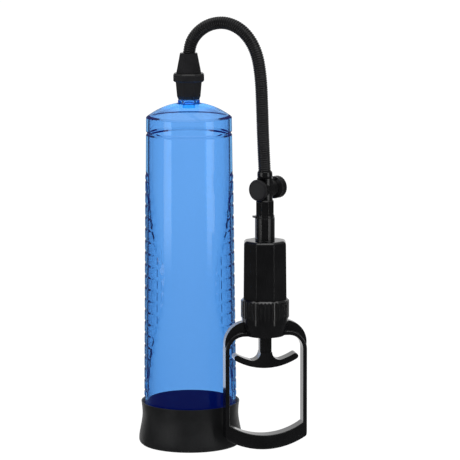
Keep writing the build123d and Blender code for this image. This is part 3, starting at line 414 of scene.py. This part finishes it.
def clear_blue():
    """Clear blue plastic: tinted at the surface and through its depth, with painted shade deepening the blue
    along the brick lines, the groove and the dome, and a painted glow.
    """
    material, tree, shader = new_material("clear_blue_plastic")
    shader.inputs["Transmission Weight"].default_value = 1.0
    shader.inputs["IOR"].default_value = PLASTIC_IOR
    flow = texture(tree, "ShaderNodeTexNoise", Scale=14.0, Detail=2.0).outputs["Fac"]
    place = tree.nodes.new("ShaderNodeTexCoord")
    split = tree.nodes.new("ShaderNodeSeparateXYZ")
    tree.links.new(place.outputs["Object"], split.inputs[0])
    low = smooth_ramp(tree, split.outputs["Z"], *LOW_TINT_Z)
    tint_and_painted_shade = blend_colours(tree, low, ramp_between(tree, flow, *PLASTIC_TINTS), LOW_TINT, "MULTIPLY")
    # painted shade: the darker line colour mixed in by the brick attribute
    tint_and_painted_shade = blend_colours(tree, attribute(tree, "brick"), tint_and_painted_shade, LINE_PAINTED_SHADE)
    # painted glow over the body, brighter on the dome
    painted_glow = blend_colours(tree, attribute(tree, "dome"), BODY_PAINTED_GLOW, DOME_PAINTED_GLOW)
    tree.links.new(tint_and_painted_shade, shader.inputs["Base Color"])
    tree.links.new(spread(tree, flow, 0.0, 0.02), shader.inputs["Roughness"])
    tree.links.new(bump(tree, flow, 0.03, 1.0 * MM), shader.inputs["Normal"])
    tree.links.new(painted_glow, shader.inputs["Emission Color"])
    shader.inputs["Emission Strength"].default_value = 1.0
    material.cycles.emission_sampling = "NONE"
    depth = tree.nodes.new("ShaderNodeVolumeAbsorption")
    depth.inputs["Color"].default_value = DEPTH_COLOUR
    depth.inputs["Density"].default_value = DEPTH_DENSITY
    tree.links.new(depth.outputs["Volume"], tree.nodes["Material Output"].inputs["Volume"])
    return material


# Each row: slot, name, darker colour, roughness range, grain strength and scale, other settings.
MATERIALS = {
    slot: moulded(name, colour, rough, grain, grain_scale, **other)
    for slot, name, colour, rough, grain, grain_scale, other in (
        ("soft_rubber", "sleeve_rubber", (0.0085, 0.009, 0.01), (0.42, 0.52), 0.12, 2600.0,
         {"specular": 0.36}),
        ("seal_rubber", "seal_rubber", (0.02, 0.02, 0.02), (0.45, 0.6), 0.15, 1800.0, {}),
        ("connector_rubber", "connector_rubber", (0.0125, 0.0125, 0.014), (0.3, 0.4), 0.08, 2200.0,
         {"specular": 0.4}),
        ("hose_rubber", "hose_rubber", (0.0085, 0.0085, 0.0095), (0.25, 0.34), 0.06, 2400.0,
         {"specular": 0.45}),
        ("liner_rubber", "liner_rubber", (0.22, 0.22, 0.21), (0.3, 0.4), 0.05, 1200.0, {}),
        ("black_plastic", "black_plastic", (0.0032, 0.0033, 0.0038), (0.10, 0.16), 0.02, 1500.0,
         {"specular": 0.45, "edge": EDGE_R}),
        ("button_plastic", "button_plastic", (0.0085, 0.0085, 0.01), (0.32, 0.42), 0.12, 2600.0,
         {"specular": 0.45, "edge": EDGE_R}),
        ("inner_plastic", "inner_plastic", (0.45, 0.45, 0.43), (0.35, 0.5), 0.05, 900.0, {}),
        ("spring_steel", "spring_steel", (0.5, 0.5, 0.5), (0.2, 0.35), 0.05, 2500.0, {"metallic": 1.0}),
    )
}
MATERIALS["clear_blue"] = clear_blue()

slot_of = {s["node"]: s["material_slot"] for s in frame["record"]["subparts"]}
for node_name, node in nodes.items():
    node.data.materials.clear()
    node.data.materials.append(MATERIALS[slot_of[node_name]])

# ------------------------------------------------------------------ chamber

SEGMENTS = 144
R_LOW = 29.5 * MM
LIP_Z = 28.1 * MM
DRAFT = math.tan(math.radians(0.65))
WALL = 2.2 * MM
RIM_ROUND = 0.5 * MM
INNER_RINGS = (160 * MM, 120 * MM, 80 * MM, 40 * MM)  # heights of the inner wall's rings
SHOULDER_Z = 212.5 * MM
SHOULDER_ROUND = 0.8 * MM
SHOULDER_RUN = 4 * MM  # length of straight wall under the shoulder
INNER_ROUND = 0.25 * MM
GROOVE_Z = 202.4 * MM
GROOVE_DEPTH = 0.75 * MM
GROOVE_HALF = 1.3 * MM
GROOVE_FLAT = 0.2 * MM
DOME_R = 44.3 * MM
DOME_CENTRE_Z = 177.7 * MM
DOME_STEPS = 24
INNER_DOME_R = DOME_R - 0.55 * MM
NIPPLE_R = 3.95 * MM
NIPPLE_Z = 218.3 * MM
BOSS_R = 7.0 * MM
BOSS_TOP_Z = 223.6 * MM
BOSS_ROUND = 0.3 * MM
SPIGOT_R = 5.0 * MM
BORE_R = 3.4 * MM
SEAL_Z = 230.6 * MM
SEAL_H = 1.9 * MM
SEAL_DEPTH = 0.8 * MM

BRICK_Z = 103.5 * MM
BRICK_BAND = 74.6 * MM  # from the middle to the edge of the stretch of wall that holds the bricks
BRICK_SPAN = 72.2 * MM  # from the middle to the last brick
BRICK_ROWS = 10  # above the middle, and as many below
BRICK_ROW = 7.6 * MM
BRICK_COLUMN = 10.0  # degrees
BRICK_COLUMNS = 5.5  # to each side of the middle, in the longest rows
BRICK_GAP = 0.9 * MM
BRICK_HEIGHT = 0.36 * MM
BRICK_BEVEL = 0.75 * MM
BRICK_MIN_AREA = 1.5 * MM * MM
SHELF = 0.2 * MM  # from a brick's top edge to its upright lines
JOINT_STEP = 4  # segments from one upright joint to the next
JOINT_HALF = 0.3 * MM
JOINT_DEPTH = 0.2 * MM
FAINT_JOINT_DEPTH = JOINT_DEPTH / 4
JOINT_MIN = 0.5 * MM
DEEP_COLUMNS = (-5, 4)
ZONE_HALF = 60.0  # degrees
FREE_ROWS = 19  # spaces between the levels of the plain wall's own points
HALF_ZONE = round(ZONE_HALF / 360 * SEGMENTS)  # segments

# The attributes "brick" and "dome": how deep the painted shade and the painted glow are at a point.
PAINTED_SHADE_SPAN = 52.0  # degrees from the side over which the bricks' painted shade fades
TOP_PAINTED_SHADE = 0.25
JOINT_PAINTED_SHADE = 0.8
DOME_PAINTED_SHADE = 0.1
DOME_RISE = 0.3 * MM  # height over the shoulder at which the dome begins
DOME_INNER_R = 8 * MM
GLOW_END = 20 * MM  # distance from the axis at which the dome's brighter part ends
GLOW_SPAN = 6 * MM
GLOW_LEAST = 0.12
BOSS_PAINTED_GLOW = 0.1


def outer_radius(z):
    """Outer radius of the tapered wall."""
    return R_LOW - (z - LIP_Z) * DRAFT


def dome_arc(r_start, r_end, radius):
    """Points along a dome from one distance to another."""
    a, b = math.asin(r_start / radius), math.asin(r_end / radius)
    out = []
    for i in range(DOME_STEPS + 1):
        angle = a + (b - a) * i / DOME_STEPS
        out.append((radius * math.sin(angle), DOME_CENTRE_Z + radius * math.cos(angle)))
    return out


def lerp(p, q, t):
    """The point at a fraction of the way from p to q."""
    return (p[0] + (q[0] - p[0]) * t, p[1] + (q[1] - p[1]) * t)


def clip(polygon, inside):
    """The part of a polygon where inside(p) is not negative."""
    out = []
    for p, q in zip(polygon, polygon[1:] + polygon[:1]):
        a, b = inside(p), inside(q)
        if a >= 0:
            out.append(p)
        if (a >= 0) != (b >= 0):
            out.append(lerp(p, q, a / (a - b)))
    return out


def brick_outlines():
    """Outlines of the rows of bricks round one side as (arc length, height), measured from the middle."""
    arc = math.radians(BRICK_COLUMN) * outer_radius(BRICK_Z)
    slope = arc / (2 * BRICK_ROW)
    reach = BRICK_COLUMNS * arc

    def slanted_end(sx, sz):
        return lambda p: reach - slope * (sz * p[1] - BRICK_ROW) - sx * p[0]

    def level_end(sz):
        return lambda p: BRICK_SPAN - sz * p[1]

    limits = [slanted_end(sx, sz) for sx in (-1, 1) for sz in (-1, 1)]
    limits += [level_end(sz) for sz in (-1, 1)]
    out = []
    for row in range(-BRICK_ROWS, BRICK_ROWS):
        z0, z1 = row * BRICK_ROW + BRICK_GAP / 2, (row + 1) * BRICK_ROW - BRICK_GAP / 2
        polygon = [(-reach, z0), (reach, z0), (reach, z1), (-reach, z1)]
        for inside in limits:
            polygon = clip(polygon, inside)
        if len(polygon) >= 3 and polygon_area(polygon) > BRICK_MIN_AREA:
            out.append(polygon)
    return out


def span_at(polygon, x):
    """Lowest and highest point of a convex polygon at x, or None."""
    heights = []
    for p, q in zip(polygon, polygon[1:] + polygon[:1]):
        if (p[0] - x) * (q[0] - x) < 0:
            heights.append(p[1] + (q[1] - p[1]) * (x - p[0]) / (q[0] - p[0]))
    return (min(heights), max(heights)) if len(heights) == 2 else None


def polygon_area(polygon):
    """Area of a polygon, positive when its points run anticlockwise."""
    return 0.5 * sum(p[0] * q[1] - q[0] * p[1] for p, q in zip(polygon, polygon[1:] + polygon[:1]))


def inset(polygon, distance):
    """Convex polygon moved in by a distance."""
    out = []
    n = len(polygon)
    for i in range(n):
        p, q, r = Vector(polygon[i - 1]), Vector(polygon[i]), Vector(polygon[(i + 1) % n])
        u, v = (q - p).normalized(), (r - q).normalized()
        turn = max(0.3, 1 + u.dot(v))
        out.append(tuple(q + (Vector((-u.y, u.x)) + Vector((-v.y, v.x))) * distance / turn))
    return out


def dense(polygon, step):
    """Polygon with its long level runs split, so that bricks follow the curve of the wall."""
    out = []
    for p, q in zip(polygon, polygon[1:] + polygon[:1]):
        count = max(1, round(abs(q[0] - p[0]) / step))
        out.extend(lerp(p, q, i / count) for i in range(count))
    return out


def in_polygon(point, polygon):
    """Whether a point lies inside a convex polygon whose points run anticlockwise."""
    return all(
        (q[0] - p[0]) * (point[1] - p[1]) - (q[1] - p[1]) * (point[0] - p[0]) > 0
        for p, q in zip(polygon, polygon[1:] + polygon[:1])
    )


def joint_lines(column, rest):
    """Upright lines at a segment of a brick, as (offset, depth): a joint's three, or a plain one."""
    if rest:
        return ((0, 0),)
    depth = JOINT_DEPTH if column in DEEP_COLUMNS else FAINT_JOINT_DEPTH
    return ((-JOINT_HALF, 0), (0, depth), (JOINT_HALF, 0))


def brick_wall(bm, side, z_low, z_high):
    """Outer wall with raised bricks over one side of the chamber."""
    tint_and_painted_shade = bm.verts.layers.float["brick"]
    radius = outer_radius(BRICK_Z)
    per_segment = radius * 2 * math.pi / SEGMENTS
    points, edges, raised, shade = [], [], [], []

    def add_line(line, height, painted_shade_depth, closed=True):
        first = len(points)
        points.extend(Vector(p) for p in line)
        raised.extend([height] * len(line))
        shade.extend([painted_shade_depth] * len(line))
        edges.extend((first + i, first + (i + 1) % len(line)) for i in range(len(line) if closed else 1))

    low, high = z_low - BRICK_Z, z_high - BRICK_Z
    border = [(i * per_segment, low) for i in range(-HALF_ZONE, HALF_ZONE)]
    border += [(HALF_ZONE * per_segment, low), (HALF_ZONE * per_segment, high)]
    border += [(i * per_segment, high) for i in range(HALF_ZONE - 1, -HALF_ZONE, -1)]
    border += [(-HALF_ZONE * per_segment, high)]
    add_line(border, 0.0, 0.0)
    kept_clear = []
    for outline in brick_outlines():
        top = inset(outline, BRICK_BEVEL)
        kept_clear.append(inset(top, -2 * BRICK_BEVEL))
        # painted shade: full along the brick outlines, less on the tops and joints
        add_line(dense(outline, per_segment), 0.0, 1.0)
        add_line(dense(top, per_segment), BRICK_HEIGHT, TOP_PAINTED_SHADE)
        shelf = inset(top, SHELF)
        for i in range(-HALF_ZONE, HALF_ZONE + 1):
            lines = joint_lines(*divmod(i - JOINT_STEP // 2, JOINT_STEP))
            spans = [span_at(shelf, i * per_segment + x) for x, _ in lines]
            if None in spans:
                continue
            z0, z1 = max(s[0] for s in spans), min(s[1] for s in spans)
            if z1 - z0 < JOINT_MIN:
                continue
            for offset, depth in lines:
                x = i * per_segment + offset
                height, painted_shade_depth = BRICK_HEIGHT - depth, JOINT_PAINTED_SHADE if depth else TOP_PAINTED_SHADE
                add_line([(x, z0), (x, z1)], height, painted_shade_depth, closed=False)
    for i in range(-HALF_ZONE + 1, HALF_ZONE):
        for k in range(1, FREE_ROWS):
            p = (i * per_segment, low + (high - low) * k / FREE_ROWS)
            if not any(in_polygon(p, outline) for outline in kept_clear):
                points.append(Vector(p))
                raised.append(0.0)
                shade.append(0.0)
    verts, _, faces, origins, _, _ = geometry.delaunay_2d_cdt(points, edges, [], 0, SAME_POINT)
    made = []
    for vert, origin in zip(verts, origins):
        z = vert.y + BRICK_Z
        lift = max((raised[i] for i in origin), key=abs, default=0.0)
        angle = side + vert.x / radius
        r = outer_radius(z) + lift
        made.append(bm.verts.new((r * math.cos(angle), r * math.sin(angle), z)))
        # painted shade, deepest at the chamber's sides and gone 52 degrees from them
        near = 1 - abs(vert.x / radius) / math.radians(PAINTED_SHADE_SPAN)
        made[-1][tint_and_painted_shade] = min(1.0, max(0.0, 2 * near)) * max((shade[i] for i in origin), default=0.0)
    for face in faces:
        bm.faces.new([made[i] for i in face])


def chamber_profile(rim_z, spigot_top, brick_low, brick_high):
    """Closed profile of the chamber as (radius, height), and the index of its row that holds bricks."""
    shoulder_r = outer_radius(SHOULDER_Z)
    inner_arc = dome_arc(NIPPLE_R, shoulder_r - WALL, INNER_DOME_R)
    groove = [
        (outer_radius(z) - depth, z)
        for z, depth in (
            (GROOVE_Z - GROOVE_HALF, 0.0),
            (GROOVE_Z - GROOVE_FLAT, GROOVE_DEPTH),
            (GROOVE_Z + GROOVE_FLAT, GROOVE_DEPTH),
            (GROOVE_Z + GROOVE_HALF, 0.0),
        )
    ]
    rim = [(outer_radius(rim_z) - WALL, rim_z), (outer_radius(rim_z), rim_z)]
    profile = rounded([*rim, (outer_radius(brick_low), brick_low)], RIM_ROUND)
    brick_row = len(profile) - 1
    profile += [(outer_radius(brick_high), brick_high), *groove]
    below = SHOULDER_Z - SHOULDER_RUN
    shoulder = [(outer_radius(below), below), (shoulder_r, SHOULDER_Z)]
    arc = dome_arc(shoulder_r, BOSS_R, DOME_R)
    profile += rounded(shoulder + arc[1:3], SHOULDER_ROUND)[1:] + arc[3:-1]
    top = [
        *arc[-2:],
        (BOSS_R, BOSS_TOP_Z),
        (SPIGOT_R, BOSS_TOP_Z),
        (SPIGOT_R, SEAL_Z - SEAL_H / 2),
        (SPIGOT_R - SEAL_DEPTH, SEAL_Z - SEAL_H / 2),
        (SPIGOT_R - SEAL_DEPTH, SEAL_Z + SEAL_H / 2),
        (SPIGOT_R, SEAL_Z + SEAL_H / 2),
        (SPIGOT_R, spigot_top),
        (BORE_R, spigot_top),
        (BORE_R, NIPPLE_Z),
        (NIPPLE_R, NIPPLE_Z),
        *inner_arc[:2],
    ]
    profile += rounded(top, BOSS_ROUND, steps=3)[1:]
    profile += inner_arc[2:-1]
    inner_wall = [(outer_radius(z) - WALL, z) for z in INNER_RINGS]
    profile += rounded([*inner_arc[-2:], inner_wall[0]], INNER_ROUND)[1:] + inner_wall[1:]
    return profile, brick_row


def paint_dome_shade_and_glow(bm):
    """Set how deep the painted shade and the painted glow are over the dome, the boss and the groove."""
    tint_and_painted_shade = bm.verts.layers.float["brick"]
    painted_glow = bm.verts.layers.float["dome"]
    inner_edge = outer_radius(SHOULDER_Z) - WALL
    for vert in bm.verts:
        r = math.hypot(vert.co.x, vert.co.y)
        on_dome = vert.co.z > SHOULDER_Z + DOME_RISE
        if on_dome and DOME_INNER_R < r < inner_edge:
            vert[tint_and_painted_shade] = DOME_PAINTED_SHADE
            # painted glow, strongest near the middle of the dome
            vert[painted_glow] = min(1.0, max(GLOW_LEAST, (GLOW_END - r) / GLOW_SPAN))
        elif on_dome and r <= DOME_INNER_R:
            vert[painted_glow] = BOSS_PAINTED_GLOW
        # painted shade: a dark line along the groove
        elif abs(vert.co.z - GROOVE_Z) < GROOVE_HALF / 2:
            vert[tint_and_painted_shade] = 1.0


def make_chamber():
    """Clear chamber with groove, dome, boss, spigot and brick relief, as one closed skin."""
    low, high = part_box("chamber")
    brick_low, brick_high = BRICK_Z - BRICK_BAND, BRICK_Z + BRICK_BAND
    profile, brick_row = chamber_profile(low.z, high.z, brick_low, brick_high)

    def in_zone(row, j):
        near = min(j, SEGMENTS - 1 - j)
        far = abs(j + 0.5 - SEGMENTS / 2)
        return row == brick_row and (near < HALF_ZONE or far < HALF_ZONE)

    bm = bmesh.new()
    bm.verts.layers.float.new("brick")
    bm.verts.layers.float.new("dome")
    lathe(bm, profile, SEGMENTS, skip=in_zone)
    paint_dome_shade_and_glow(bm)
    for side in (0.0, math.pi):
        brick_wall(bm, side, brick_low, brick_high)
    piece = link_mesh("clear_chamber", bm, MATERIALS["clear_blue"], sharp_degrees=30)
    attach(piece, "chamber")
    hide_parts("chamber")


# ------------------------------------------------------------------ return spring


def make_return_spring():
    """Return spring, carried with the pump."""
    bm = bmesh.new()
    bm.from_mesh(nodes["return_spring"].data)
    bm.transform(nodes["return_spring"].matrix_world)
    piece = link_mesh("return_coil", bm, MATERIALS["spring_steel"], sharp_degrees=60)
    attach(piece, "pump")
    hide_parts("return_spring")
    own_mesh(piece)


# ------------------------------------------------------------------ sleeve

# Radius and height in millimetres, from the mouth round the outside to the lip, and back down the inside.
SLEEVE_OUTSIDE = [
    (14.0, 0.35), (14.4, 0.0), (30.4, 0.0), (31.7, 0.25), (32.8, 1.2), (33.32, 2.4), (33.35, 3.7),
    (33.25, 5.6), (32.8, 8.2), (32.22, 11.2), (31.65, 14.2), (31.25, 17.0), (31.05, 19.4),
    (31.08, 21.6), (31.25, 24.0), (31.5, 26.4), (31.72, 27.6), (31.7, 28.0), (31.5, 28.1),
    (31.2, 27.95), (30.7, 26.8), (30.05, 25.2), (29.6, 24.4),
]
SLEEVE_INSIDE = [(29.72, 14.0), (26.5, 14.0), (25.4, 13.2), (20.0, 9.3), (14.6, 5.4), (14.0, 4.6)]


def make_sleeve():
    """Soft sleeve: flared foot, drawn-in waist and thin rolled lip."""
    profile = [(r * MM, z * MM) for r, z in SLEEVE_OUTSIDE + SLEEVE_INSIDE]
    bm = bmesh.new()
    lathe(bm, profile, SEGMENTS)
    piece = link_mesh("soft_sleeve", bm, MATERIALS["soft_rubber"], sharp_degrees=50)
    black_parts.objects.link(piece)
    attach(piece, "chamber")
    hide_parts("sealing_sleeve")


# ------------------------------------------------------------------ hose

REACH = math.hypot(PUMP_X, PUMP_Y)
# Route in the upright plane through the chamber axis and the pump axis: distance out, height.
HOSE_ROUTE = [
    (0.0, 246.2),
    (0.0, 257.0),
    (5.6, 266.5),
    (15.8, 272.9),
    (28.6, 274.2),
    (40.6, 268.6),
    (48.8, 257.0),
    (51.9, 241.5),
    (52.8, 222.5),
    (53.5, 199.9),
    (54.7, 177.5),
]
HOSE_R = 4.05 * MM
HOSE_SIDES = 28
RIB_PITCH = 1.42 * MM
RIB_DEPTH = 0.5 * MM
RIB_STEPS = 8
RIB_POWER = 0.8  # below 1 makes the ribs rounder and the grooves between them narrower


def route_point(out, z):
    """The point of the route's plane at a distance out from the chamber's axis and a height."""
    return Vector((out * MM * PUMP_X / REACH, out * MM * PUMP_Y / REACH, z * MM))


def smooth_line(points, name):
    """Points read along the NURBS spline of a route."""
    curve = bpy.data.curves.new(name, "CURVE")
    curve.dimensions = "3D"
    curve.resolution_u = 40
    spline = curve.splines.new("NURBS")
    spline.points.add(len(points) - 1)
    for slot, p in zip(spline.points, points):
        slot.co = (*p, 1.0)
    spline.order_u = 3
    spline.use_endpoint_u = True
    holder = bpy.data.objects.new(name, curve)
    bpy.context.scene.collection.objects.link(holder)
    bpy.context.view_layer.update()
    mesh = bpy.data.meshes.new_from_object(holder)
    line = [v.co.copy() for v in mesh.vertices]
    bpy.data.objects.remove(holder)
    bpy.data.meshes.remove(mesh)
    return line


def evenly(line, step):
    """Points at an even spacing along a line, each with its direction and its distance, and the length."""
    lengths = [0.0]
    for a, b in zip(line, line[1:]):
        lengths.append(lengths[-1] + (b - a).length)
    total = lengths[-1]
    count = max(2, round(total / step))
    out, at = [], 0
    for i in range(count + 1):
        s = total * i / count
        while at < len(line) - 2 and lengths[at + 1] < s:
            at += 1
        a, b = line[at], line[at + 1]
        t = (s - lengths[at]) / max(1e-12, lengths[at + 1] - lengths[at])
        out.append((a.lerp(b, t), (b - a).normalized(), s))
    return out, total


def make_hose():
    """Ribbed hose from the boot to the valve's ferrule."""
    line = smooth_line([route_point(*p) for p in HOSE_ROUTE], "hose_line")
    stations, total = evenly(line, RIB_PITCH / RIB_STEPS)
    side = Vector((PUMP_Y, -PUMP_X, 0)).normalized()
    bm = bmesh.new()
    rings = []
    for at, along, s in stations:
        up = side.cross(along).normalized()
        wave = abs(math.sin(math.pi * s / RIB_PITCH)) ** RIB_POWER
        r = HOSE_R - RIB_DEPTH * (1 - wave)
        ring = []
        for k in range(HOSE_SIDES):
            a = 2 * math.pi * k / HOSE_SIDES
            ring.append(bm.verts.new(at + (side * math.cos(a) + up * math.sin(a)) * r))
        rings.append(ring)
    for low, high in zip(rings, rings[1:]):
        for k in range(HOSE_SIDES):
            n = (k + 1) % HOSE_SIDES
            bm.faces.new((low[k], low[n], high[n], high[k]))
    bm.faces.new(rings[0])
    bm.faces.new(rings[-1])
    piece = link_mesh("ribbed_hose", bm, MATERIALS["hose_rubber"], sharp_degrees=75)
    black_parts.objects.link(piece)
    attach(piece, "hose_set")
    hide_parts("hose_sheath", "hose_liner")


make_chamber()
make_return_spring()
make_sleeve()
make_hose()
